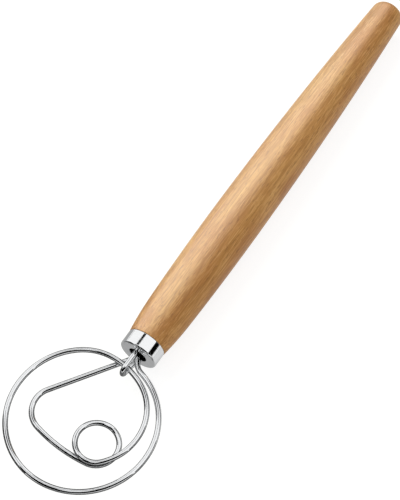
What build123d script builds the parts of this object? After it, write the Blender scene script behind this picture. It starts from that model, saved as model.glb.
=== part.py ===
from build123d import *
from math import acos, atan2, ceil, cos, degrees, hypot, pi, radians, sin, sqrt, tan
import os

# Sizes are in millimetres and angles in degrees.
# The whisk is drawn along X: the middle of the ferrule's flat face is the zero point, the
# handle runs towards +X, the wire head lies at -X, and +Z is the side with the hook's front leg.
# At the end the whole whisk is moved along X, so that the grip's thickest place is the zero point.

# Wire stock
wire_diameter = 2.7
hook_wire_diameter = 2.7

# Outer ring: its nearest point to the ferrule, its sideways place and the size of its bends
ring_reach = 5.5
ring_radius = 36.1
ring_offset = 3.5
first_bend_radius = 8.0
ring_end_angle = 39.2

# Neck and inner loop: bends that follow the ring, each as radius and turn
neck_gap = 1.0
neck_bend_angle = 37.6
cheek_radius = 38.5
cheek_bend_angle = 29.3
inner_radius = 27.1
inner_bend_angle = 105.7

# Coil: one small loop that drops the wire to the back layer
coil_radius = 10.3
coil_front_angle = 72.3
coil_drop_angle = 235.2
layer_gap = 0.45

# Back layer: from the coil along the ring, round the corner and back to the ferrule
coil_exit_radius = 10.5
coil_exit_angle = 93.0
side_radius = 80.0
side_bend_angle = 21.5
corner_radius = 12.4
corner_bend_angle = 73.3
arm_corner_radius = 10.7
arm_bend_reach = 1.4
arm_bend_radius = 4.0
arm_rise_length = 4.6
arm_rise_radius = 6.0

# The four wire legs in the handle
leg_gap = 0.2
leg_depth = 40.0
start_leg_offset = -1.2

# Hairpin hook round the ring wire at the neck
hook_offset = 0.8
hook_gap = 0.2
hook_reach = 8.9
hook_joggle_radius = 6.0
hook_joggle_start = 7.0
hook_joggle_end = 1.6

# Ferrule: a drawn cap with a round hole in its face
ferrule_radius = 10.05
ferrule_length = 8.0
ferrule_wall = 1.0
ferrule_face = 1.0
ferrule_rim_radius = 0.9
ferrule_hole_clearance = 0.12
ferrule_hole_edge = 0.3
tenon_clearance = 0.05
tenon_chamfer = 0.5
seat_gap = 0.1

# Turned handle
handle_end = 250.0
shoulder_lip = 0.1
swell_x = 28.0
swell_radius = 11.95
belly_x = 90.0
belly_radius = 13.15
taper_x = 190.0
taper_radius = 11.41
tail_radius = 8.7
butt_edge_radius = 4.0

# Bore in the handle and the resin that holds the legs
bore_extra = 0.4
bore_past_legs = 4.0
drill_point_angle = 118.0
resin_clearance = 0.05
resin_start = 7.0

# Shape measures for sweeps
quarter_turn_angle = 90.0
drop_steps = 4
point_spacing = 0.5


# Values that follow from the sizes above
wire_radius = wire_diameter / 2
hook_wire_radius = hook_wire_diameter / 2
layer_drop = wire_diameter + layer_gap
hook_bend_radius = wire_radius + hook_wire_radius + hook_gap
leg_spacing = wire_radius + hook_wire_radius + leg_gap
arm_leg_offset = start_leg_offset + leg_spacing
arm_leg_reach = hypot(arm_leg_offset, leg_spacing) + wire_radius
hole_radius = arm_leg_reach + ferrule_hole_clearance
bore_radius = hole_radius + bore_extra
bore_depth = leg_depth + bore_past_legs
tenon_radius = ferrule_radius - ferrule_wall - tenon_clearance
tenon_start = ferrule_face + seat_gap
shoulder_x = ferrule_length + seat_gap
shoulder_radius = ferrule_radius + shoulder_lip
ring_centre_x = -(ring_reach + ring_radius)


def flat_direction(heading, slope=0.0):
    """Unit vector for a heading in the plane of the head and a slope out of it."""
    level = cos(radians(slope))
    return Vector(cos(radians(heading)) * level, sin(radians(heading)) * level, sin(radians(slope)))


def right_of(heading):
    """Unit vector to the right of a heading, seen from the front of the head."""
    return flat_direction(heading - quarter_turn_angle)


def two_arcs(start, start_direction, end, end_direction):
    """Two arcs that join smoothly and leave and arrive in the given directions."""
    chord = end - start
    along = chord.dot(start_direction + end_direction)
    spread = 2 * (1 - start_direction.dot(end_direction))
    reach = (sqrt(along * along + spread * chord.dot(chord)) - along) / spread
    joint = (start + end + (start_direction - end_direction) * reach) / 2
    first = TangentArc(start, joint, tangent=start_direction)
    second = TangentArc(joint, end, tangent=first % 1)
    return [first, second]


class BentWire:
    """The centre line of a wire, bent step by step from its first end."""

    def __init__(self, start, heading):
        self.spot = Vector(*start)
        self.heading = heading
        self.edges = []

    def line_to(self, end):
        self.edges.append(Line(self.spot, end))
        self.spot = end

    def bend(self, radius, turn):
        """A flat bend. A positive turn goes to the right, seen from the front."""
        side = radius if turn > 0 else -radius
        centre = self.spot + right_of(self.heading) * side
        pieces = ceil(abs(turn) / quarter_turn_angle)
        for _ in range(pieces):
            leaving = flat_direction(self.heading)
            self.heading -= turn / pieces
            end = centre - right_of(self.heading) * side
            self.edges.append(TangentArc(self.spot, end, tangent=leaving))
            self.spot = end

    def drop(self, radius, turn, depth):
        """A bend to the right that also sinks by a depth, level at both of its ends."""
        centre = self.spot + right_of(self.heading) * radius
        level = self.spot.Z
        length = radians(turn) * radius
        slope = 0.0
        for step in range(1, drop_steps + 1):
            share = step / drop_steps
            sunk_share = 2 * share * share if share < 0.5 else 1 - 2 * (1 - share) ** 2
            steepness = 4 * min(share, 1 - share) * depth / length
            leaving = flat_direction(self.heading, slope)
            self.heading -= turn / drop_steps
            slope = -degrees(atan2(steepness, 1))
            end = centre - right_of(self.heading) * radius
            end = Vector(end.X, end.Y, level - depth * sunk_share)
            arriving = flat_direction(self.heading, slope)
            self.edges += two_arcs(self.spot, leaving, end, arriving)
            self.spot = end

    def bend_towards(self, radius, target):
        """A flat bend to the right that ends where a straight run would meet the target."""
        centre = self.spot + right_of(self.heading) * radius
        away = target - centre
        bearing = degrees(atan2(away.Y, away.X))
        touch = bearing + degrees(acos(radius / hypot(away.X, away.Y)))
        turn = (self.heading - (touch - quarter_turn_angle)) % 360
        self.bend(radius, turn)

    def line_round(self, corner, onward, radius):
        """A straight run to a corner and a rounded turn there towards the next point."""
        arriving = (corner - self.spot).normalized()
        leaving = (onward - corner).normalized()
        half_turn = acos(arriving.dot(leaving)) / 2
        cut_back = radius * tan(half_turn)
        self.line_to(corner - arriving * cut_back)
        end = corner + leaving * cut_back
        self.edges.append(TangentArc(self.spot, end, tangent=arriving))
        self.spot = end

    def path(self):
        return Wire(self.edges)

    def tube(self, diameter):
        path = self.path()
        section = Plane(origin=path @ 0, z_dir=path % 0) * Circle(diameter / 2)
        solid = sweep(section, path=path)
        expected = pi * diameter ** 2 / 4 * path.length
        print(f"tube length {path.length:.1f} volume {solid.volume:.1f} expected {expected:.1f}")
        return solid


def print_least_gap(wire, diameter):
    """Print how near a bent wire comes to itself, measured on points of its centre line."""
    path = wire.path()
    count = ceil(path.length / point_spacing)
    points = [path @ (step / count) for step in range(count + 1)]
    skipped = ceil(3 * diameter / point_spacing)
    least = min(
        (points[i] - points[j]).length
        for i in range(len(points))
        for j in range(i + skipped, len(points))
    )
    print(f"least gap of the wire to itself {least - diameter:.2f}")


def head_wire():
    """One wire: a leg, the outer ring, the inner loop with its coil, and the other leg."""
    first_side = start_leg_offset - first_bend_radius - ring_offset
    first_x = ring_centre_x + sqrt((ring_radius + first_bend_radius) ** 2 - first_side ** 2)
    first_turn = quarter_turn_angle + degrees(atan2(first_side, first_x - ring_centre_x))
    wire = BentWire((leg_depth, start_leg_offset, 0), 180)
    wire.line_to(Vector(first_x, start_leg_offset, 0))
    wire.bend(first_bend_radius, -first_turn)
    ring_start_angle = quarter_turn_angle - first_turn
    wire.bend(ring_radius, 360 - ring_start_angle - ring_end_angle)

    drawn_in = 1 - cos(radians(ring_end_angle + ring_start_angle))
    neck_radius = ring_radius - (wire_diameter + neck_gap) / drawn_in
    wire.bend(neck_radius, neck_bend_angle)
    wire.bend(cheek_radius, cheek_bend_angle)
    wire.bend(inner_radius, inner_bend_angle)
    wire.bend(coil_radius, coil_front_angle)
    wire.drop(coil_radius, coil_drop_angle, layer_drop)

    wire.bend(coil_exit_radius, coil_exit_angle)
    wire.bend(side_radius, side_bend_angle)
    wire.bend(corner_radius, corner_bend_angle)
    arm_bend = Vector(-arm_bend_reach, arm_leg_offset, -leg_spacing)
    wire.bend_towards(arm_corner_radius, arm_bend)
    rise_start = arm_bend - flat_direction(wire.heading) * arm_rise_length
    rise_start = Vector(rise_start.X, rise_start.Y, wire.spot.Z)
    leg_end = Vector(leg_depth, arm_leg_offset, -leg_spacing)
    wire.line_round(rise_start, arm_bend, arm_rise_radius)
    wire.line_round(arm_bend, leg_end, arm_bend_radius)
    wire.line_to(leg_end)
    return wire


def hook_wire():
    """The hairpin hook: a front leg, a half turn round the ring wire and a back leg."""
    front = Vector(leg_depth, hook_offset, hook_bend_radius)
    tip_front = Vector(-hook_reach, hook_offset, hook_bend_radius)
    tip_back = Vector(-hook_reach, hook_offset, -hook_bend_radius)
    set_start = Vector(-hook_joggle_start, hook_offset, -hook_bend_radius)
    set_end = Vector(-hook_joggle_end, start_leg_offset, -leg_spacing)
    back = Vector(leg_depth, start_leg_offset, -leg_spacing)
    hook = BentWire(tuple(front), 180)
    hook.line_to(tip_front)
    tip = Vector(-(hook_reach + hook_bend_radius), hook_offset, 0)
    hook.edges.append(TangentArc(tip_front, tip, tangent=Vector(-1, 0, 0)))
    hook.edges.append(TangentArc(tip, tip_back, tangent=Vector(0, 0, -1)))
    hook.spot = tip_back
    hook.line_round(set_start, set_end, hook_joggle_radius)
    hook.line_round(set_end, back, hook_joggle_radius)
    hook.line_to(back)
    return hook


def leg_holes(start, end):
    """The straight channels that the four legs fill, with their clearance."""
    length = end - start
    legs = [
        (start_leg_offset, 0, wire_radius),
        (arm_leg_offset, -leg_spacing, wire_radius),
        (hook_offset, hook_bend_radius, hook_wire_radius),
        (start_leg_offset, -leg_spacing, hook_wire_radius),
    ]
    channels = []
    for side, height, radius in legs:
        mouth = Plane(origin=(start, side, height), z_dir=(1, 0, 0))
        channels.append(extrude(mouth * Circle(radius + resin_clearance), amount=length))
    return channels


def turned(face):
    """Turn a half profile, drawn in XY, about the handle's axis, with the seam underneath."""
    return revolve(Rot(X=-quarter_turn_angle) * face, axis=Axis.X, revolution_arc=360)


def corner_at(face, x, y):
    """The corner of a flat profile that lies at a place."""
    return face.vertices().sort_by_distance((x, y))[0]


def drilled_profile(start, radius, depth):
    """Half profile of a hole along X with a drill point."""
    point = radius / tan(radians(drill_point_angle / 2))
    return make_face(
        Polyline((start, 0), (start, radius), (depth, radius), (depth + point, 0), (start, 0))
    )


def handle():
    """Turned wooden handle with a tenon for the ferrule and a bore for the legs."""
    swell = (swell_x, swell_radius)
    belly = (belly_x, belly_radius)
    shoulder = (shoulder_x, shoulder_radius)
    taper = (taper_x, taper_radius)
    tail = (handle_end, tail_radius)
    front_curve = TangentArc(belly, swell, tangent=(-1, 0))
    neck_curve = TangentArc(swell, shoulder, tangent=front_curve % 1)
    grip_curve = TangentArc(belly, taper, tangent=(1, 0))
    tail_curve = TangentArc(taper, tail, tangent=grip_curve % 1)
    end_face = Polyline(tail, (handle_end, 0), (tenon_start, 0))
    tenon = Polyline((tenon_start, 0), (tenon_start, tenon_radius), (shoulder_x, tenon_radius), shoulder)
    outline = [front_curve, neck_curve, grip_curve, tail_curve] + end_face.edges() + tenon.edges()
    profile = make_face(Wire(outline))
    profile = fillet(corner_at(profile, handle_end, tail_radius), radius=butt_edge_radius)
    profile = chamfer(corner_at(profile, tenon_start, tenon_radius), length=tenon_chamfer)
    return turned(profile) - turned(drilled_profile(tenon_start - seat_gap, bore_radius, bore_depth))


def ferrule():
    """Drawn metal cap: a flat face with a round hole and a skirt over the tenon."""
    skirt_inside = ferrule_radius - ferrule_wall
    outline = Polyline(
        (0, hole_radius),
        (0, ferrule_radius),
        (ferrule_length, ferrule_radius),
        (ferrule_length, skirt_inside),
        (ferrule_face, skirt_inside),
        (ferrule_face, hole_radius),
        (0, hole_radius),
    )
    profile = make_face(outline)
    profile = fillet(corner_at(profile, 0, ferrule_radius), radius=ferrule_rim_radius)
    profile = chamfer(corner_at(profile, 0, hole_radius), length=ferrule_hole_edge)
    return turned(profile)


def resin_plug():
    """Cast resin that fills the bottom of the bore round the legs."""
    solid = turned(drilled_profile(resin_start, bore_radius - resin_clearance, bore_depth - resin_clearance))
    for channel in leg_holes(resin_start - seat_gap, leg_depth + resin_clearance):
        solid -= channel
    return solid


def main():
    wire = head_wire()
    print_least_gap(wire, wire_diameter)
    parts = {
        "handle": handle(),
        "ferrule": ferrule(),
        "whisk_wire": wire.tube(wire_diameter),
        "hairpin_hook": hook_wire().tube(hook_wire_diameter),
        "resin_plug": resin_plug(),
    }
    os.makedirs("parts", exist_ok=True)
    for name, part in parts.items():
        export_step(Pos(X=-belly_x) * part, f"parts/{name}.step")


main()
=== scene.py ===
from math import acos, atan2, ceil, cos, degrees, hypot, pi, radians, sin, sqrt, tan

import bmesh
import bpy
from mathutils import Matrix, Vector


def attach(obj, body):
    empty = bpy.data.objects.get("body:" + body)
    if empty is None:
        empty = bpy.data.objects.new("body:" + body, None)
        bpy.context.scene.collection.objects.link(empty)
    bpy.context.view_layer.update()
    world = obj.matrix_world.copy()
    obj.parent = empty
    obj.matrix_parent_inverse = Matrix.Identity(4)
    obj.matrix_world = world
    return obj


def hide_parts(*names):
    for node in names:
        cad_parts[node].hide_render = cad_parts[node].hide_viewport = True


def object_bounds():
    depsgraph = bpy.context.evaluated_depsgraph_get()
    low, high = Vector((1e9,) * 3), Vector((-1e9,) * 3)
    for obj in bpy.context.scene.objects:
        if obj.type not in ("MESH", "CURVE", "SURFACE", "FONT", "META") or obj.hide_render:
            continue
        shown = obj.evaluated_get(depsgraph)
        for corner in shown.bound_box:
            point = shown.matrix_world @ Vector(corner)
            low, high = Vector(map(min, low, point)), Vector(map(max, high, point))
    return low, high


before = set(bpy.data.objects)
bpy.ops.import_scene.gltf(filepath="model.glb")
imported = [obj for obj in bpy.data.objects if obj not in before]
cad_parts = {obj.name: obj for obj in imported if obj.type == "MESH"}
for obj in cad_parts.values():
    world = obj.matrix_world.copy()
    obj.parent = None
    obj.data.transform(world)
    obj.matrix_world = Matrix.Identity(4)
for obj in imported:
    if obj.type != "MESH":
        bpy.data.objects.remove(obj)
cad_low, cad_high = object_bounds()

# Sizes are in millimetres and angles in degrees, drawn with the ferrule's face at x = 0.
# The handle runs towards +x and the wire head lies at -x. MM turns them into metres.
MM = 0.001

# Wire stock
wire_diameter = 2.7
hook_wire_diameter = 2.7
wire_radius = wire_diameter / 2
hook_wire_radius = hook_wire_diameter / 2

# Outer ring, neck and inner loop
ring_reach = 5.5
ring_radius = 36.1
ring_centre_x = -(ring_reach + ring_radius)
ring_offset = 3.5
first_bend_radius = 8.0
ring_end_angle = 39.2
neck_gap = 1.0
neck_bend_angle = 37.6
cheek_radius, cheek_bend_angle = 38.5, 29.3
inner_radius, inner_bend_angle = 27.1, 105.7

# Coil and the back layer that leads to the ferrule again
coil_radius = 10.3
coil_front_angle = 72.3
coil_drop_angle = 235.2
layer_gap = 0.45
layer_drop = wire_diameter + layer_gap
coil_exit_radius, coil_exit_angle = 10.5, 93.0
side_radius, side_bend_angle = 80.0, 21.5
corner_radius, corner_bend_angle = 12.4, 73.3
arm_corner_radius = 10.7
arm_bend_reach, arm_bend_radius = 1.4, 4.0
arm_rise_length, arm_rise_radius = 4.6, 6.0

# Legs in the handle and the hairpin hook
leg_depth = 40.0
start_leg_offset = -1.2
leg_gap = 0.2
leg_spacing = wire_radius + hook_wire_radius + leg_gap
arm_leg_offset = start_leg_offset + leg_spacing
hook_offset = 0.8
hook_reach = 8.9
hook_gap = 0.2
hook_bend_radius = wire_radius + hook_wire_radius + hook_gap
hook_joggle_radius = 6.0
hook_joggle_start, hook_joggle_end = 7.0, 1.6

# Ferrule
ferrule_radius, ferrule_length = 10.05, 8.0
ferrule_wall = 1.0
ferrule_face = 1.0
ferrule_rim_radius = 0.9
ferrule_lip_radius = 0.18
hole_clearance = 0.12
hole_radius = hypot(arm_leg_offset, leg_spacing) + wire_radius + hole_clearance
hole_edge_radius = 0.3

# Turned handle and its bore
tenon_start = 1.1
tenon_radius = 9.0
tenon_chamfer = 0.5
shoulder = (8.1, 10.15)
shoulder_edge_radius = 0.25
shoulder_edge_end_angle = 98
swell = (28.0, 11.95)
belly = (90.0, 13.15)
taper = (190.0, 11.41)
handle_end, tail_radius = 250.0, 8.7
butt_edge_radius = 4.0
bore_extra = 0.4
bore_radius = hole_radius + bore_extra
bore_depth = 44.0
drill_point_angle = 118.0

# The black of the bore: how deep under the tenon's skin it starts, and where it ends along the handle
dark_edge = 1.0
dark_until, clear_from = 80.0, 82.0

# Fineness of the wires
bend_step_angle = 30
drop_steps = 12
curve_fineness = 24
wire_sides = 32
wire_step = 0.55

# Fineness of the turned pieces
lathe_sides = 128
front_steps, neck_steps, grip_steps, tail_steps = 36, 16, 50, 36
shoulder_edge_steps, butt_edge_steps = 5, 12
hole_edge_steps, rim_steps, lip_steps = 4, 10, 4
seam_step = 0.04
least_neck_step, least_tail_step = 0.6, 0.3
butt_ring_shares = (0.66, 0.33, 0)
smooth_below_angle = 35
on_axis_radius = 0.000001

# Finishes: the range in which a noise does its work, and colours from 0 to 1
middle_of_noise = (0.3, 0.7)
bore_black = (0.012, 0.008, 0.006)
wire_steel_colour = (0.91, 0.92, 0.93)
line_darkness = 0.93

# Camera: its place and clipping in metres, its direction from the whisk, its lens in millimetres
camera_place = (-0.32749, -0.18831, 0.63373)
camera_azimuth, camera_elevation = -147.286, 60.41
camera_focal_length = 104.643
camera_film_height = 36
camera_clip = (0.01, 20)

# Lamps and cards: distances in metres, cards round a drawn place in the wire head
lamp_distance = 2.0
card_distance = 1.6
card_centre = (-15, 0, 0)
card_step_angle = 6
card_rows = 8
card_colour = (0.002, 0.002, 0.002, 1)

# Sky and floor: reaches in metres, places along the drawn whisk, brightness with pure white as 1
sky_brightness = 0.3
floor_half_width = 4
floor_colour = (0.9, 0.9, 0.9, 1)
floor_shadow_colour = (0.27, 0.27, 0.27, 1)
floor_glow_reach, floor_glow_brightness = (0.4, 1.4), (0.84, 1.0)
# The floor as mirrors see it carries painted shade, grey round the cap and under the head, and painted light,
# white near the handle
painted_shade_cap_centre = (190, -215, 0)
painted_shade_cap_reach, painted_shade_cap_brightness = (0.262, 0.285), (0.72, 0.40)
painted_shade_head_places, painted_shade_head_brightness = (-22, -10), 0.3
painted_light_handle_places, painted_light_handle_reach = (35, 60), (0.35, 0.5)


# Places

def row_place(spot):
    """A drawn place in metres in the row frame, whose zero point is at the belly."""
    return Vector(((spot[0] - belly[0]) * MM, spot[1] * MM, spot[2] * MM))


def along_row(x):
    return row_place((x, 0, 0)).x


head_middle = row_place(card_centre)


# Wires: the middle line as Bezier arcs and runs, the round wire from Geometry Nodes

def flat_direction(heading, slope=0.0):
    level = cos(radians(slope))
    return Vector((cos(radians(heading)) * level, sin(radians(heading)) * level, sin(radians(slope))))


def right_of(heading):
    return flat_direction(heading - 90)


def bezier_reach(radius, turn):
    """How far the handles of a Bezier span reach that follows an arc, with its turn in radians."""
    return 4 / 3 * tan(turn / 4) * radius


class BentWire:
    """The middle line of a wire, bent step by step from its first end."""

    def __init__(self, spot, heading):
        self.spot = Vector(spot)
        self.heading = heading
        self.spans = []

    def span(self, end, leaving, arriving, reach):
        self.spans.append((self.spot, self.spot + leaving * reach, end - arriving * reach, end))
        self.spot = end

    def line_to(self, end):
        way = (end - self.spot).normalized()
        self.span(end, way, way, (end - self.spot).length / 3)

    def bend(self, radius, turn):
        """A flat bend. A positive turn goes to the right, seen from the front."""
        side = radius if turn > 0 else -radius
        centre = self.spot + right_of(self.heading) * side
        pieces = ceil(abs(turn) / bend_step_angle)
        part = turn / pieces
        reach = bezier_reach(radius, radians(abs(part)))
        for _ in range(pieces):
            leaving = flat_direction(self.heading)
            self.heading -= part
            end = centre - right_of(self.heading) * side
            self.span(end, leaving, flat_direction(self.heading), reach)

    def drop(self, radius, turn, depth):
        """A bend to the right that also sinks by a depth, level at both of its ends."""
        centre = self.spot + right_of(self.heading) * radius
        level = self.spot.z
        length = radians(turn) * radius
        slope = 0.0
        for step in range(1, drop_steps + 1):
            share = step / drop_steps
            sunk_share = 2 * share * share if share < 0.5 else 1 - 2 * (1 - share) ** 2
            leaving = flat_direction(self.heading, slope)
            self.heading -= turn / drop_steps
            slope = -degrees(atan2(4 * min(share, 1 - share) * depth / length, 1))
            end = centre - right_of(self.heading) * radius
            end.z = level - depth * sunk_share
            reach = bezier_reach(radius, radians(turn / drop_steps)) / cos(radians(slope))
            self.span(end, leaving, flat_direction(self.heading, slope), reach)

    def bend_towards(self, radius, target):
        """A flat bend to the right that ends where a straight run would meet the target."""
        away = target - (self.spot + right_of(self.heading) * radius)
        bearing = degrees(atan2(away.y, away.x))
        touch = bearing + degrees(acos(radius / hypot(away.x, away.y)))
        self.bend(radius, (self.heading - (touch - 90)) % 360)

    def line_round(self, corner, onward, radius):
        """A straight run to a corner and a rounded turn there towards the next point."""
        arriving = (corner - self.spot).normalized()
        leaving = (onward - corner).normalized()
        turn = arriving.angle(leaving)
        cut_back = radius * tan(turn / 2)
        self.line_to(corner - arriving * cut_back)
        self.span(corner + leaving * cut_back, arriving, leaving, bezier_reach(radius, turn))


def head_wire():
    """One wire: a leg, the outer ring, the inner loop with its coil, and the other leg."""
    first_side = start_leg_offset - first_bend_radius - ring_offset
    first_x = ring_centre_x + sqrt((ring_radius + first_bend_radius) ** 2 - first_side ** 2)
    first_turn = 90 + degrees(atan2(first_side, first_x - ring_centre_x))
    wire = BentWire((leg_depth, start_leg_offset, 0), 180)
    wire.line_to(Vector((first_x, start_leg_offset, 0)))
    wire.bend(first_bend_radius, -first_turn)
    ring_start_angle = 90 - first_turn
    wire.bend(ring_radius, 360 - ring_start_angle - ring_end_angle)
    drawn_in = 1 - cos(radians(ring_end_angle + ring_start_angle))
    wire.bend(ring_radius - (wire_diameter + neck_gap) / drawn_in, neck_bend_angle)
    wire.bend(cheek_radius, cheek_bend_angle)
    wire.bend(inner_radius, inner_bend_angle)
    wire.bend(coil_radius, coil_front_angle)
    wire.drop(coil_radius, coil_drop_angle, layer_drop)
    wire.bend(coil_exit_radius, coil_exit_angle)
    wire.bend(side_radius, side_bend_angle)
    wire.bend(corner_radius, corner_bend_angle)
    arm_bend = Vector((-arm_bend_reach, arm_leg_offset, -leg_spacing))
    wire.bend_towards(arm_corner_radius, arm_bend)
    rise_start = arm_bend - flat_direction(wire.heading) * arm_rise_length
    rise_start.z = wire.spot.z
    leg_end = Vector((leg_depth, arm_leg_offset, -leg_spacing))
    wire.line_round(rise_start, arm_bend, arm_rise_radius)
    wire.line_round(arm_bend, leg_end, arm_bend_radius)
    wire.line_to(leg_end)
    return wire


def hook_wire():
    """The hairpin hook: a front leg, a half turn round the ring wire and a back leg."""
    hook = BentWire((leg_depth, hook_offset, hook_bend_radius), 180)
    hook.line_to(Vector((-hook_reach, hook_offset, hook_bend_radius)))
    reach = bezier_reach(hook_bend_radius, pi / 2)
    tip = Vector((-(hook_reach + hook_bend_radius), hook_offset, 0))
    hook.span(tip, Vector((-1, 0, 0)), Vector((0, 0, -1)), reach)
    tip_back = Vector((-hook_reach, hook_offset, -hook_bend_radius))
    hook.span(tip_back, Vector((0, 0, -1)), Vector((1, 0, 0)), reach)
    set_start = Vector((-hook_joggle_start, hook_offset, -hook_bend_radius))
    set_end = Vector((-hook_joggle_end, start_leg_offset, -leg_spacing))
    back = Vector((leg_depth, start_leg_offset, -leg_spacing))
    hook.line_round(set_start, set_end, hook_joggle_radius)
    hook.line_round(set_end, back, hook_joggle_radius)
    hook.line_to(back)
    return hook


def middle_line(name, wire):
    """The bent wire's middle line as a curve object in the row frame."""
    curve = bpy.data.curves.new(name, "CURVE")
    curve.dimensions = "3D"
    spline = curve.splines.new("BEZIER")
    spline.resolution_u = curve_fineness
    spline.bezier_points.add(len(wire.spans))
    for point in spline.bezier_points:
        point.handle_left_type = point.handle_right_type = "FREE"
    for number, (start, after, before, end) in enumerate(wire.spans):
        here, there = spline.bezier_points[number], spline.bezier_points[number + 1]
        here.co = row_place(start)
        here.handle_right = row_place(after)
        there.handle_left = row_place(before)
        there.co = row_place(end)
    first, last = spline.bezier_points[0], spline.bezier_points[-1]
    first.handle_left = first.co
    last.handle_right = last.co
    line = bpy.data.objects.new(name, curve)
    bpy.context.scene.collection.objects.link(line)
    return line


def name_sockets(interface):
    interface.new_socket("Middle line", in_out="INPUT", socket_type="NodeSocketGeometry")
    interface.new_socket("Wire diameter", in_out="INPUT", socket_type="NodeSocketFloat")
    interface.new_socket("Step along", in_out="INPUT", socket_type="NodeSocketFloat")
    interface.new_socket("Sides", in_out="INPUT", socket_type="NodeSocketInt")
    interface.new_socket("Finish", in_out="INPUT", socket_type="NodeSocketMaterial")
    interface.new_socket("Wire", in_out="OUTPUT", socket_type="NodeSocketGeometry")


def evened_line(nodes, links, given):
    """The middle line in even steps, and each point's run along it."""
    evened = nodes.new("GeometryNodeResampleCurve")
    evened.mode = "LENGTH"
    links.new(given.outputs["Middle line"], evened.inputs["Curve"])
    links.new(given.outputs["Step along"], evened.inputs["Length"])
    along = nodes.new("GeometryNodeCaptureAttribute")
    along.domain = "POINT"
    along.capture_items.new("FLOAT", "run")
    spline = nodes.new("GeometryNodeSplineParameter")
    links.new(evened.outputs["Curve"], along.inputs["Geometry"])
    links.new(spline.outputs["Length"], along.inputs["run"])
    return along.outputs["Geometry"], along.outputs["run"]


def round_section(nodes, links, given):
    """The wire's round section, and each point's place on it."""
    halved = nodes.new("ShaderNodeMath")
    halved.operation = "DIVIDE"
    halved.inputs[1].default_value = 2
    links.new(given.outputs["Wire diameter"], halved.inputs[0])
    section = nodes.new("GeometryNodeCurvePrimitiveCircle")
    links.new(given.outputs["Sides"], section.inputs["Resolution"])
    links.new(halved.outputs[0], section.inputs["Radius"])
    on_section = nodes.new("GeometryNodeCaptureAttribute")
    on_section.domain = "POINT"
    on_section.capture_items.new("VECTOR", "place")
    position = nodes.new("GeometryNodeInputPosition")
    links.new(section.outputs["Curve"], on_section.inputs["Geometry"])
    links.new(position.outputs["Position"], on_section.inputs["place"])
    return on_section.outputs["Geometry"], on_section.outputs["place"]


def stored_place(nodes, links, mesh, place, run):
    """The mesh with its own place stored: across the wire in X and Y, along it in Z."""
    parts = nodes.new("ShaderNodeSeparateXYZ")
    joined = nodes.new("ShaderNodeCombineXYZ")
    links.new(place, parts.inputs[0])
    links.new(parts.outputs["X"], joined.inputs["X"])
    links.new(parts.outputs["Y"], joined.inputs["Y"])
    links.new(run, joined.inputs["Z"])
    stored = nodes.new("GeometryNodeStoreNamedAttribute")
    stored.data_type = "FLOAT_VECTOR"
    stored.domain = "POINT"
    stored.inputs["Name"].default_value = "drawn_place"
    links.new(mesh, stored.inputs["Geometry"])
    links.new(joined.outputs[0], stored.inputs["Value"])
    return stored.outputs["Geometry"]


def wire_drawing_tree():
    """Geometry Nodes: a round wire drawn along a middle line, with a place on it for its finish."""
    tree = bpy.data.node_groups.new("wire_drawing", "GeometryNodeTree")
    name_sockets(tree.interface)
    nodes, links = tree.nodes, tree.links
    given = nodes.new("NodeGroupInput")
    result = nodes.new("NodeGroupOutput")
    line, run = evened_line(nodes, links, given)
    section, place = round_section(nodes, links, given)
    drawn = nodes.new("GeometryNodeCurveToMesh")
    drawn.inputs["Fill Caps"].default_value = True
    links.new(line, drawn.inputs["Curve"])
    links.new(section, drawn.inputs["Profile Curve"])
    placed = stored_place(nodes, links, drawn.outputs["Mesh"], place, run)
    smooth = nodes.new("GeometryNodeSetShadeSmooth")
    real = nodes.new("GeometryNodeRealizeInstances")
    finished = nodes.new("GeometryNodeSetMaterial")
    links.new(placed, smooth.inputs["Geometry"])
    links.new(smooth.outputs["Geometry"], real.inputs["Geometry"])
    links.new(real.outputs["Geometry"], finished.inputs["Geometry"])
    links.new(given.outputs["Finish"], finished.inputs["Material"])
    links.new(finished.outputs["Geometry"], result.inputs["Wire"])
    return tree


def drawn_wire(name, wire, tree, diameter, finish):
    """The round wire along a middle line, as a plain mesh object."""
    line = middle_line(name + "_line", wire)
    modifier = line.modifiers.new("drawing", "NODES")
    modifier.node_group = tree
    sizes = {
        "Wire diameter": diameter * MM,
        "Step along": wire_step * MM,
        "Sides": wire_sides,
        "Finish": finish,
    }
    for socket in tree.interface.items_tree:
        if socket.in_out == "INPUT" and socket.name in sizes:
            modifier[socket.identifier] = sizes[socket.name]
    seen = line.evaluated_get(bpy.context.evaluated_depsgraph_get())
    mesh = bpy.data.meshes.new_from_object(seen, preserve_all_data_layers=True)
    line.modifiers.remove(modifier)
    bpy.data.objects.remove(line)
    mesh.name = name
    piece = bpy.data.objects.new(name, mesh)
    bpy.context.scene.collection.objects.link(piece)
    face_outward(mesh)
    return piece


def face_outward(mesh):
    shape = bmesh.new()
    shape.from_mesh(mesh)
    bmesh.ops.recalc_face_normals(shape, faces=shape.faces)
    shape.to_mesh(mesh)
    shape.free()


# Turned pieces

class Arc:
    """The arc that leaves a place in a direction and reaches another place."""

    def __init__(self, start, way, end, count):
        start, end, way = Vector(start), Vector(end), Vector(way).normalized()
        across = Vector((-way.y, way.x))
        chord = end - start
        radius = chord.length_squared / (2 * chord.dot(across))
        self.radius = abs(radius)
        self.centre = start + across * radius
        from_centre = start - self.centre
        turn = from_centre.angle_signed(end - self.centre)
        self.last_way = Matrix.Rotation(-turn, 2) @ way
        self.points = [
            self.centre + Matrix.Rotation(-turn * step / count, 2) @ from_centre
            for step in range(1, count + 1)
        ]


def edge_round(centre, radius, first, last, count):
    """Points of a round edge from one angle to another."""
    return [
        Vector(centre) + Vector((cos(radians(a)), sin(radians(a)))) * radius
        for a in (first + (last - first) * step / count for step in range(count + 1))
    ]


def ring_of(shape, x, radius):
    """The points of one turned ring, or the one point on the axis."""
    if radius < on_axis_radius:
        return [shape.verts.new(row_place((x, 0, 0)))]
    angles = [2 * pi * side / lathe_sides for side in range(lathe_sides)]
    return [shape.verts.new(row_place((x, radius * cos(a), radius * sin(a)))) for a in angles]


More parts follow.
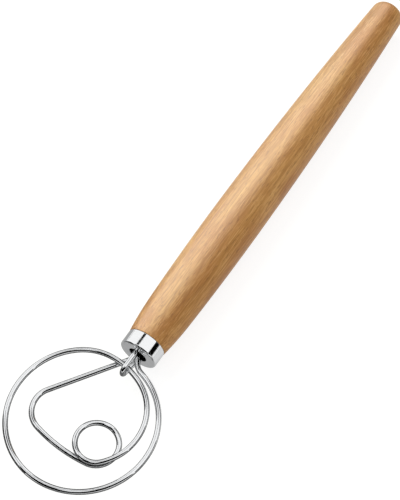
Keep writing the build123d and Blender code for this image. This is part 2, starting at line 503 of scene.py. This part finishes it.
def join_rings(shape, here, there):
    for side in range(lathe_sides):
        following = (side + 1) % lathe_sides
        corners = [here[side % len(here)], here[following % len(here)]]
        corners += [there[following % len(there)], there[side % len(there)]]
        shape.faces.new(list(dict.fromkeys(corners)))


def lathe(name, profile, closed):
    """Turn a half profile about the handle's axis. An open profile starts and ends on the axis."""
    shape = bmesh.new()
    rings = [ring_of(shape, x, radius) for x, radius in profile]
    for here, there in zip(rings, rings[1:]):
        join_rings(shape, here, there)
    if closed:
        join_rings(shape, rings[-1], rings[0])
    bmesh.ops.recalc_face_normals(shape, faces=shape.faces)
    mesh = bpy.data.meshes.new(name)
    shape.to_mesh(mesh)
    shape.free()
    mesh.shade_smooth()
    mesh.set_sharp_from_angle(angle=radians(smooth_below_angle))
    piece = bpy.data.objects.new(name, mesh)
    bpy.context.scene.collection.objects.link(piece)
    return piece


def bore_and_tenon():
    """The handle's half profile from the drill point out to the shoulder's edge."""
    point = bore_depth + bore_radius / tan(radians(drill_point_angle / 2))
    edge_centre = (shoulder[0] + shoulder_edge_radius, shoulder[1] - shoulder_edge_radius)
    inside = [
        Vector((point, 0)),
        Vector((bore_depth, bore_radius)),
        Vector((tenon_start, bore_radius)),
        Vector((tenon_start, tenon_radius - tenon_chamfer)),
        Vector((tenon_start + tenon_chamfer, tenon_radius)),
        Vector((shoulder[0], tenon_radius)),
    ]
    return inside + edge_round(
        edge_centre, shoulder_edge_radius, 180, shoulder_edge_end_angle, shoulder_edge_steps
    )


def handle_profile():
    """Half profile of the handle: the bore, the tenon, the shoulder, the turned body and the butt."""
    front = Arc(belly, (-1, 0), swell, front_steps)
    neck = Arc(swell, front.last_way, shoulder, neck_steps)
    grip = Arc(belly, (1, 0), taper, grip_steps)
    tail = Arc(taper, grip.last_way, (handle_end, tail_radius), tail_steps)
    neck_points = [p for p in neck.points[::-1] if p.x > shoulder[0] + least_neck_step]
    body_front = neck_points + [Vector(swell)] + front.points[-2::-1] + [Vector(belly)]
    inner = tail.radius - butt_edge_radius
    round_x = handle_end - butt_edge_radius
    round_centre = Vector((round_x, tail.centre.y + sqrt(inner ** 2 - (round_x - tail.centre.x) ** 2)))
    lean = degrees(atan2(round_centre.y - tail.centre.y, round_centre.x - tail.centre.x))
    rounded = edge_round(round_centre, butt_edge_radius, lean, 0, butt_edge_steps)
    tail_points = [p for p in tail.points if p.x < rounded[0].x - least_tail_step]
    butt = [Vector((handle_end, round_centre.y * share)) for share in butt_ring_shares]
    return bore_and_tenon() + body_front + grip.points + tail_points + rounded + butt


def ferrule_profile():
    """Half profile of the drawn cap, as a closed loop."""
    inside = ferrule_radius - ferrule_wall
    hole_edge = (hole_edge_radius, hole_radius + hole_edge_radius)
    rim = (ferrule_rim_radius, ferrule_radius - ferrule_rim_radius)
    lip = (ferrule_length - ferrule_lip_radius, ferrule_radius - ferrule_lip_radius)
    profile = [Vector((ferrule_face, hole_radius)), Vector((hole_edge_radius, hole_radius))]
    profile += edge_round(hole_edge, hole_edge_radius, 270, 180, hole_edge_steps)[1:]
    profile += edge_round(rim, ferrule_rim_radius, 180, 90, rim_steps)
    profile += [Vector((ferrule_rim_radius + seam_step, ferrule_radius))]
    profile += [Vector((lip[0] - seam_step, ferrule_radius))]
    profile += edge_round(lip, ferrule_lip_radius, 90, 0, lip_steps)
    profile += [Vector((ferrule_length, inside)), Vector((ferrule_face, inside))]
    return profile


# Finishes

class Finish:
    """A node material and short ways to build its pattern."""

    def __init__(self, name):
        self.material = bpy.data.materials.new(name)
        self.material.use_nodes = True
        self.nodes = self.material.node_tree.nodes
        self.links = self.material.node_tree.links

    def join(self, output, target):
        if hasattr(output, "is_output"):
            self.links.new(output, target)
        else:
            target.default_value = output

    def object_place(self):
        return self.nodes.new("ShaderNodeTexCoord").outputs["Object"]

    def own_place(self, attribute):
        """A place that the piece itself carries."""
        source = self.nodes.new("ShaderNodeAttribute")
        source.attribute_name = attribute
        return source.outputs["Vector"]

    def parts_of(self, place):
        parts = self.nodes.new("ShaderNodeSeparateXYZ")
        self.links.new(place, parts.inputs[0])
        return parts.outputs

    def noise(self, place, waves, shift=(0, 0, 0), detail=3.0, roughness=0.5, distortion=0.0):
        """A noise with so many waves to a metre along X, Y and Z."""
        mapping = self.nodes.new("ShaderNodeMapping")
        mapping.inputs["Scale"].default_value = waves
        mapping.inputs["Location"].default_value = shift
        self.links.new(place, mapping.inputs["Vector"])
        node = self.nodes.new("ShaderNodeTexNoise")
        node.inputs["Scale"].default_value = 1.0
        node.inputs["Detail"].default_value = detail
        node.inputs["Roughness"].default_value = roughness
        node.inputs["Distortion"].default_value = distortion
        self.links.new(mapping.outputs["Vector"], node.inputs["Vector"])
        return node.outputs["Fac"]

    def ramp(self, factor, *stops):
        """A colour ramp from (place, colour) stops, two at least."""
        node = self.nodes.new("ShaderNodeValToRGB")
        elements = node.color_ramp.elements
        while len(elements) < len(stops):
            elements.new(0.5)
        for element, (place, colour) in zip(elements, stops):
            element.position = place
            element.color = (*colour, 1)
        self.links.new(factor, node.inputs["Fac"])
        return node.outputs["Color"]

    def spread(self, value, low, high, to_low, to_high):
        """Map a value from one range to another, and keep it inside."""
        node = self.nodes.new("ShaderNodeMapRange")
        node.inputs["From Min"].default_value = low
        node.inputs["From Max"].default_value = high
        node.inputs["To Min"].default_value = to_low
        node.inputs["To Max"].default_value = to_high
        self.links.new(value, node.inputs["Value"])
        return node.outputs["Result"]

    def mix(self, factor, first, second):
        node = self.nodes.new("ShaderNodeMix")
        node.data_type = "RGBA"
        self.join(factor, node.inputs["Factor"])
        for value, target in ((first, node.inputs["A"]), (second, node.inputs["B"])):
            if isinstance(value, tuple):
                value = (*value, 1)
            self.join(value, target)
        return node.outputs["Result"]

    def tinted(self, colour, pattern, start, full, strength, tint):
        """Mix a tint into a colour where a pattern passes from start to full."""
        return self.mix(self.spread(pattern, start, full, 0, strength), colour, tint)

    def calculate(self, operation, first, second):
        node = self.nodes.new("ShaderNodeMath")
        node.operation = operation
        self.join(first, node.inputs[0])
        self.join(second, node.inputs[1])
        return node.outputs[0]

    def inside_bore(self):
        """1 in the bore and on the tenon's face round it, 0 on the outside."""
        parts = self.parts_of(self.object_place())
        squares = [self.calculate("POWER", parts[axis], 2.0) for axis in ("Y", "Z")]
        off_axis = self.calculate("POWER", self.calculate("ADD", *squares), 0.5)
        inside = self.spread(off_axis, (tenon_radius - dark_edge) * MM, tenon_radius * MM, 1, 0)
        front = self.spread(parts["X"], along_row(dark_until), along_row(clear_from), 1, 0)
        return self.calculate("MULTIPLY", inside, front)

    def bumped(self, height, strength, depth):
        """Surface directions for a pattern of so many millimetres' depth."""
        node = self.nodes.new("ShaderNodeBump")
        node.inputs["Strength"].default_value = strength
        node.inputs["Distance"].default_value = depth * MM
        self.links.new(height, node.inputs["Height"])
        return node.outputs["Normal"]

    def set(self, **values):
        surface = self.nodes["Principled BSDF"]
        for name, value in values.items():
            self.join(value, surface.inputs[name.replace("_", " ")])


def beech_finish():
    """Oiled beech: long figure along the handle, fine fibres and short dark flecks."""
    wood = Finish("oiled_beech")
    place = wood.object_place()
    figure = wood.noise(place, waves=(9, 110, 110), detail=4, distortion=0.5)
    patches = wood.noise(place, waves=(24, 70, 70), shift=(3, 1, 7))
    fibres = wood.noise(place, waves=(70, 1500, 1500), detail=4, roughness=0.7)
    lines = wood.noise(place, waves=(13, 900, 900), shift=(2, 5, 3), detail=1)
    flecks = wood.noise(place, waves=(260, 1500, 1500), shift=(5, 9, 2), detail=2)
    brown, tan_brown, cream = (0.43, 0.195, 0.050), (0.54, 0.275, 0.082), (0.63, 0.355, 0.125)
    colour = wood.ramp(figure, (0.30, brown), (0.48, tan_brown), (0.70, cream))
    colour = wood.tinted(colour, patches, start=0.45, full=0.66, strength=0.65, tint=(0.40, 0.150, 0.034))
    colour = wood.tinted(colour, fibres, start=0.56, full=0.38, strength=0.6, tint=(0.33, 0.145, 0.038))
    colour = wood.tinted(colour, fibres, start=0.50, full=0.64, strength=0.5, tint=(0.70, 0.43, 0.175))
    colour = wood.tinted(colour, lines, start=0.64, full=0.70, strength=0.45, tint=(0.30, 0.125, 0.035))
    colour = wood.tinted(colour, flecks, start=0.60, full=0.67, strength=0.6, tint=(0.24, 0.095, 0.03))
    colour = wood.mix(wood.inside_bore(), colour, bore_black)
    wood.set(
        Base_Color=colour,
        Roughness=wood.spread(fibres, *middle_of_noise, 0.36, 0.48),
        Specular_IOR_Level=0.25,
        Normal=wood.bumped(fibres, strength=0.5, depth=0.12),
    )
    return wood.material


def wire_finish(name):
    """Bright drawn stainless wire, with faint lines along it from the die."""
    steel = Finish(name)
    place = steel.own_place("drawn_place")
    lines = steel.noise(place, waves=(9000, 9000, 60))
    smears = steel.noise(place, waves=(700, 700, 120))
    in_line = tuple(line_darkness * part for part in wire_steel_colour)
    steel.set(
        Base_Color=steel.mix(steel.spread(lines, *middle_of_noise, 0, 1), in_line, wire_steel_colour),
        Metallic=1.0,
        Roughness=steel.spread(smears, *middle_of_noise, 0.018, 0.042),
        Specular_Tint=(0.3, 0.3, 0.3, 1),
        Normal=steel.bumped(lines, strength=0.02, depth=0.01),
    )
    return steel.material


def ferrule_finish():
    """Drawn and polished stainless cap, with faint lines round it."""
    steel = Finish("polished_cap_steel")
    place = steel.object_place()
    lines = steel.noise(place, waves=(9000, 300, 300))
    smears = steel.noise(place, waves=(160, 160, 160), detail=4)
    lined = steel.spread(lines, *middle_of_noise, 0, 1)
    steel.set(
        Base_Color=steel.mix(lined, (0.86, 0.87, 0.88), (0.94, 0.945, 0.95)),
        Metallic=1.0,
        Roughness=steel.spread(smears, *middle_of_noise, 0.05, 0.14),
        Normal=steel.bumped(lines, strength=0.1, depth=0.01),
    )
    return steel.material


def resin_finish():
    """Dark cast resin with a slightly uneven surface."""
    resin = Finish("dark_cast_resin")
    grain = resin.noise(resin.object_place(), waves=(900, 900, 900))
    grained = resin.spread(grain, *middle_of_noise, 0, 1)
    resin.set(
        Base_Color=resin.mix(grained, (0.012, 0.010, 0.009), (0.03, 0.025, 0.02)),
        Roughness=resin.spread(grain, *middle_of_noise, 0.35, 0.6),
        Normal=resin.bumped(grain, strength=0.3, depth=0.1),
    )
    return resin.material


# Pieces

def settle(piece, node):
    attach(piece, "root")
    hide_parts(node)


def build_whisk():
    """Build and place every piece, and give back the handle."""
    tree = wire_drawing_tree()
    wire_steel = wire_finish("bright_wire_steel")
    hook_steel = wire_finish("bright_hook_steel")
    head = drawn_wire("bent_wire_head", head_wire(), tree, wire_diameter, wire_steel)
    hook = drawn_wire("hairpin_wire", hook_wire(), tree, hook_wire_diameter, hook_steel)
    grip = lathe("turned_handle", handle_profile(), closed=False)
    grip.data.materials.append(beech_finish())
    cap = lathe("drawn_ferrule", ferrule_profile(), closed=True)
    cap.data.materials.append(ferrule_finish())
    settle(head, "whisk_wire")
    settle(hook, "hairpin_hook")
    settle(grip, "handle")
    settle(cap, "ferrule")
    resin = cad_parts["resin_plug"]
    resin.data.materials.clear()
    resin.data.materials.append(resin_finish())
    return grip


# Studio

def around(azimuth, elevation):
    """The direction at an azimuth and an elevation."""
    a, e = radians(azimuth), radians(elevation)
    return Vector((cos(e) * cos(a), cos(e) * sin(a), sin(e)))


def seen_directly(nodes, links):
    """1 for camera, glossy and transmission rays."""
    path = nodes.new("ShaderNodeLightPath")
    first, second = nodes.new("ShaderNodeMath"), nodes.new("ShaderNodeMath")
    first.operation = second.operation = "MAXIMUM"
    links.new(path.outputs["Is Camera Ray"], first.inputs[0])
    links.new(path.outputs["Is Glossy Ray"], first.inputs[1])
    links.new(first.outputs[0], second.inputs[0])
    links.new(path.outputs["Is Transmission Ray"], second.inputs[1])
    return second.outputs[0]


def white_background():
    """White for camera, mirror and glass rays, and a softer sky for the light on matt things."""
    world = bpy.data.worlds.new("studio_white")
    bpy.context.scene.world = world
    world.use_nodes = True
    nodes, links = world.node_tree.nodes, world.node_tree.links
    nodes.clear()
    result = nodes.new("ShaderNodeOutputWorld")
    mixed = nodes.new("ShaderNodeMixShader")
    soft, white = nodes.new("ShaderNodeBackground"), nodes.new("ShaderNodeBackground")
    soft.inputs["Color"].default_value = (1, 1, 1, 1)
    soft.inputs["Strength"].default_value = sky_brightness
    white.inputs["Color"].default_value = (1, 1, 1, 1)
    white.inputs["Strength"].default_value = 1.0
    links.new(seen_directly(nodes, links), mixed.inputs["Fac"])
    links.new(soft.outputs[0], mixed.inputs[1])
    links.new(white.outputs[0], mixed.inputs[2])
    links.new(mixed.outputs[0], result.inputs["Surface"])


def distance_to(paint, place, spot):
    node = paint.nodes.new("ShaderNodeVectorMath")
    node.operation = "DISTANCE"
    node.inputs[1].default_value = spot
    paint.links.new(place, node.inputs[0])
    return node.outputs["Value"]


def painted_mirror_light_and_shade(paint, place, out):
    """The floor as metal and wood mirror it, with painted shade and painted light: grey under the head and
    the cap, white under the handle.
    """
    along = paint.parts_of(place)["X"]
    # Painted shade and painted light: the mirrored floor is grey round the cap and brighter in a patch beside
    # it
    cap_spot = row_place(painted_shade_cap_centre) + Vector((0, 0, cad_low.z))
    painted_cap_shade = paint.spread(distance_to(paint, place, cap_spot), *painted_shade_cap_reach, *painted_shade_cap_brightness)
    # Painted shade: the mirrored floor goes grey under the wire head
    head_end, neck_start = (along_row(x) for x in painted_shade_head_places)
    painted_head_shade = paint.spread(along, head_end, neck_start, painted_shade_head_brightness, 1)
    # Painted light: the mirrored floor goes white beside the handle, for a lighter rim on the wood
    grey_end, white_start = (along_row(x) for x in painted_light_handle_places)
    painted_handle_light = paint.spread(along, grey_end, white_start, 0, 1)
    painted_light_nearby = paint.spread(out, *painted_light_handle_reach, 1, 0)
    painted_shade_for_metal = paint.calculate("MULTIPLY", painted_cap_shade, painted_head_shade)
    painted_light_for_wood = paint.calculate("MULTIPLY", painted_handle_light, painted_light_nearby)
    return paint.calculate("MAXIMUM", painted_shade_for_metal, painted_light_for_wood)


def floor_finish():
    """White with a soft shadow for the camera, and for mirrors a brightness with painted shade and painted
    light.
    """
    paint = Finish("white_floor_painted_mirror_shade")
    nodes, links = paint.nodes, paint.links
    nodes.clear()
    result = nodes.new("ShaderNodeOutputMaterial")
    bounced, shown = nodes.new("ShaderNodeBsdfDiffuse"), nodes.new("ShaderNodeBsdfDiffuse")
    bounced.inputs["Color"].default_value = floor_colour
    shown.inputs["Color"].default_value = floor_shadow_colour
    glow, mirrored = nodes.new("ShaderNodeEmission"), nodes.new("ShaderNodeEmission")
    place = paint.object_place()
    out = distance_to(paint, place, (0, 0, cad_low.z))
    links.new(paint.spread(out, *floor_glow_reach, *floor_glow_brightness), glow.inputs["Strength"])
    links.new(painted_mirror_light_and_shade(paint, place, out), mirrored.inputs["Strength"])
    path = nodes.new("ShaderNodeLightPath")
    added = nodes.new("ShaderNodeAddShader")
    seen, mixed = nodes.new("ShaderNodeMixShader"), nodes.new("ShaderNodeMixShader")
    links.new(shown.outputs[0], added.inputs[0])
    links.new(glow.outputs[0], added.inputs[1])
    links.new(path.outputs["Is Glossy Ray"], seen.inputs["Fac"])
    links.new(added.outputs[0], seen.inputs[1])
    links.new(mirrored.outputs[0], seen.inputs[2])
    links.new(seen_directly(nodes, links), mixed.inputs["Fac"])
    links.new(bounced.outputs[0], mixed.inputs[1])
    links.new(seen.outputs[0], mixed.inputs[2])
    links.new(mixed.outputs[0], result.inputs["Surface"])
    return paint.material


def floor():
    """A level white floor that the whisk lies on."""
    mesh = bpy.data.meshes.new("studio_floor")
    far, low = floor_half_width, cad_low.z
    corners = [(-far, -far, low), (far, -far, low), (far, far, low), (-far, far, low)]
    mesh.from_pydata(corners, [], [(0, 1, 2, 3)])
    mesh.materials.append(floor_finish())
    ground = bpy.data.objects.new("studio_floor", mesh)
    bpy.context.scene.collection.objects.link(ground)


def card_column(shape, azimuth, bottom, top):
    """The points of a card from its lowest to its highest elevation at one azimuth."""
    heights = [bottom + (top - bottom) * row / card_rows for row in range(card_rows + 1)]
    return [shape.verts.new(head_middle + around(azimuth, height) * card_distance) for height in heights]


def black_card(name, *edges):
    """A curved black card that only mirrors see, round the wire head.

    Each edge is an azimuth with the card's lowest and highest elevation there.
    """
    shape = bmesh.new()
    columns = []
    for edge, next_edge in zip(edges, edges[1:]):
        steps = ceil(abs(next_edge[0] - edge[0]) / card_step_angle)
        for step in range(steps + 1):
            share = step / steps
            columns.append(card_column(shape, *(a + (b - a) * share for a, b in zip(edge, next_edge))))
    for here, there in zip(columns, columns[1:]):
        for row in range(card_rows):
            shape.faces.new((here[row], there[row], there[row + 1], here[row + 1]))
    hang_card(name, shape)


def black_strip(name, width_angle, *directions):
    """A narrow black card bent along a row of directions, each an azimuth and an elevation."""
    ways = [around(*direction) for direction in directions]
    shape = bmesh.new()
    pairs = []
    for i, way in enumerate(ways):
        onward = ways[min(i + 1, len(ways) - 1)] - ways[max(i - 1, 0)]
        side = way.cross(onward).normalized() * tan(radians(width_angle / 2))
        pairs.append([shape.verts.new(head_middle + (way + side * turn) * card_distance) for turn in (-1, 1)])
    for here, there in zip(pairs, pairs[1:]):
        shape.faces.new((here[0], there[0], there[1], here[1]))
    hang_card(name, shape)


def hang_card(name, shape):
    mesh = bpy.data.meshes.new(name)
    shape.to_mesh(mesh)
    shape.free()
    board = bpy.data.objects.new(name, mesh)
    bpy.context.scene.collection.objects.link(board)
    material = bpy.data.materials.new(name + "_black")
    material.use_nodes = True
    black = material.node_tree.nodes["Principled BSDF"]
    black.inputs["Base Color"].default_value = card_colour
    black.inputs["Specular IOR Level"].default_value = 0.0
    black.inputs["Roughness"].default_value = 1.0
    mesh.materials.append(material)
    board.visible_camera = False
    board.visible_diffuse = False
    board.visible_shadow = False


def softbox(name, azimuth, elevation, width, power, colour=(1, 1, 1)):
    """A square soft lamp that faces the middle of the handle."""
    lamp = bpy.data.lights.new(name, "AREA")
    lamp.shape = "SQUARE"
    lamp.size = width
    lamp.energy = power
    lamp.color = colour
    away = around(azimuth, elevation)
    holder = bpy.data.objects.new(name, lamp)
    holder.location = away * lamp_distance
    holder.rotation_euler = away.to_track_quat("Z", "Y").to_euler()
    bpy.context.scene.collection.objects.link(holder)
    return holder


def light_only_mirrored(lamp, piece):
    """Keep a lamp to the gloss of one piece."""
    lamp.visible_diffuse = False
    lit = bpy.data.collections.new(lamp.name + "_receiver")
    lit.objects.link(piece)
    lamp.light_linking.receiver_collection = lit


def lamps(grip):
    """Three lamps that light everything matt, and two that only the handle's gloss sees."""
    for lamp in (
        softbox("key_softbox", 82, 46, width=1.8, power=33, colour=(0.95, 1.0, 0.87)),
        softbox("top_softbox", -90, 76, width=1.8, power=11),
        softbox("right_fill", -80, 3, width=1.5, power=9.5, colour=(1, 0.62, 0.36)),
    ):
        lamp.visible_glossy = False
    for lamp in (
        softbox("handle_sheen_softbox", 64, 34, width=3.0, power=270, colour=(1.0, 0.98, 0.88)),
        softbox("handle_top_sheen_softbox", 25, 66, width=1.6, power=36),
    ):
        light_only_mirrored(lamp, grip)


def cards():
    """Black cards that give the metal its dark lines."""
    black_card(
        "camera_side_card",
        (-94, 6, 80), (-104, 16, 96), (-112, 18, 102), (-122, 18, 102), (-132, 16, 94),
        (-143, 12, 82), (-158, 10, 70), (-170, 4, 64), (-190, 4, 66), (-200, 12, 72),
        (-208, 20, 78), (-216, 32, 84), (-226, 46, 84), (-236, 56, 80),
    )
    black_card("right_low_card", (-92, 2, 31), (-76, 3.5, 31), (-54, 3.5, 31))
    black_card("far_right_low_card", (-54, 0, 16), (-35, 0, 25), (-20, 0, 36), (-5, 0, 40), (0, 10, 38))
    black_card("far_low_card", (15, -2, 26), (45, -2, 30), (56, -2, 14))
    black_card("left_low_card", (98, -2, 34), (152, -2, 34))
    black_strip("overhead_strip", 4, (90, 62), (70, 65), (50, 66), (30, 63), (15, 62), (-2, 64))
    black_strip("cap_edge_strip", 13, (48, 64.5), (40.3, 62), (34.5, 58.5))


def camera():
    """The photograph's viewing place and lens."""
    back = around(camera_azimuth, camera_elevation)
    right = Vector((-sin(radians(camera_azimuth)), cos(radians(camera_azimuth)), 0))
    lens = bpy.data.cameras.new("studio_camera")
    lens.sensor_width = lens.sensor_height = camera_film_height
    lens.sensor_fit = "VERTICAL"
    lens.lens = camera_focal_length
    lens.clip_start, lens.clip_end = camera_clip
    holder = bpy.data.objects.new("studio_camera", lens)
    matrix = Matrix((right, back.cross(right), back)).transposed().to_4x4()
    matrix.translation = camera_place
    holder.matrix_world = matrix
    bpy.context.scene.collection.objects.link(holder)
    bpy.context.scene.camera = holder


def studio(grip):
    bpy.context.scene.view_settings.view_transform = "Standard"
    white_background()
    floor()
    lamps(grip)
    cards()
    camera()


studio(build_whisk())
